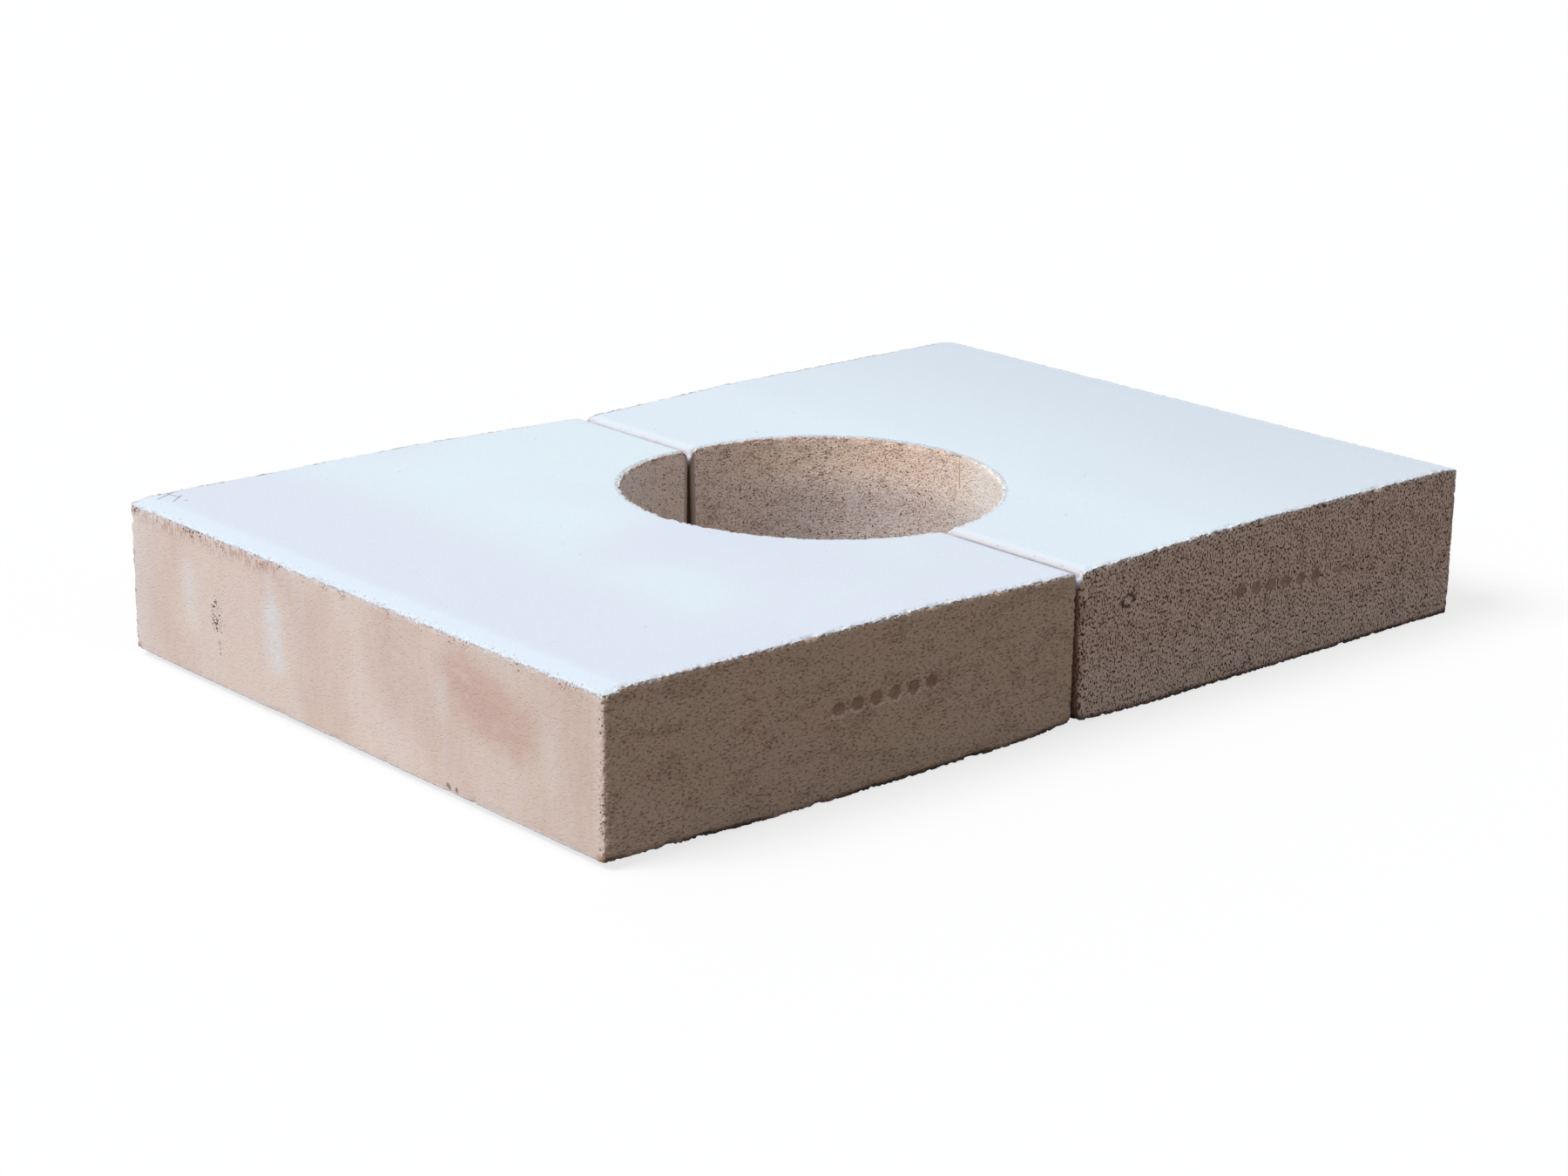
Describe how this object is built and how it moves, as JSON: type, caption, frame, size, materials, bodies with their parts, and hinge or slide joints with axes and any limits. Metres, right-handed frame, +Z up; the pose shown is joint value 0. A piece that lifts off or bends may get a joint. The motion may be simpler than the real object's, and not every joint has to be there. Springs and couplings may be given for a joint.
{
  "type": "refractory oven slab",
  "caption": "Thick fired refractory slab, split into matching half slabs that lie side by side, with a round flue opening through the middle of the pair.",
  "frame": {"origin": "on the bed, below the centre of the round opening, which is also the middle of the pair", "axes": "+X along the length from the left half to the right half, +Y from the dimpled front to the back, +Z up"},
  "size_m": [0.6008, 0.4, 0.085],
  "materials": {
    "fired_clay": "matt fired clay, smooth pale top, pitted beige-brown sides"
  },
  "bodies": {
    "root": {"left_half_slab": "fired_clay", "right_half_slab": "fired_clay"}
  },
  "joints": []
}
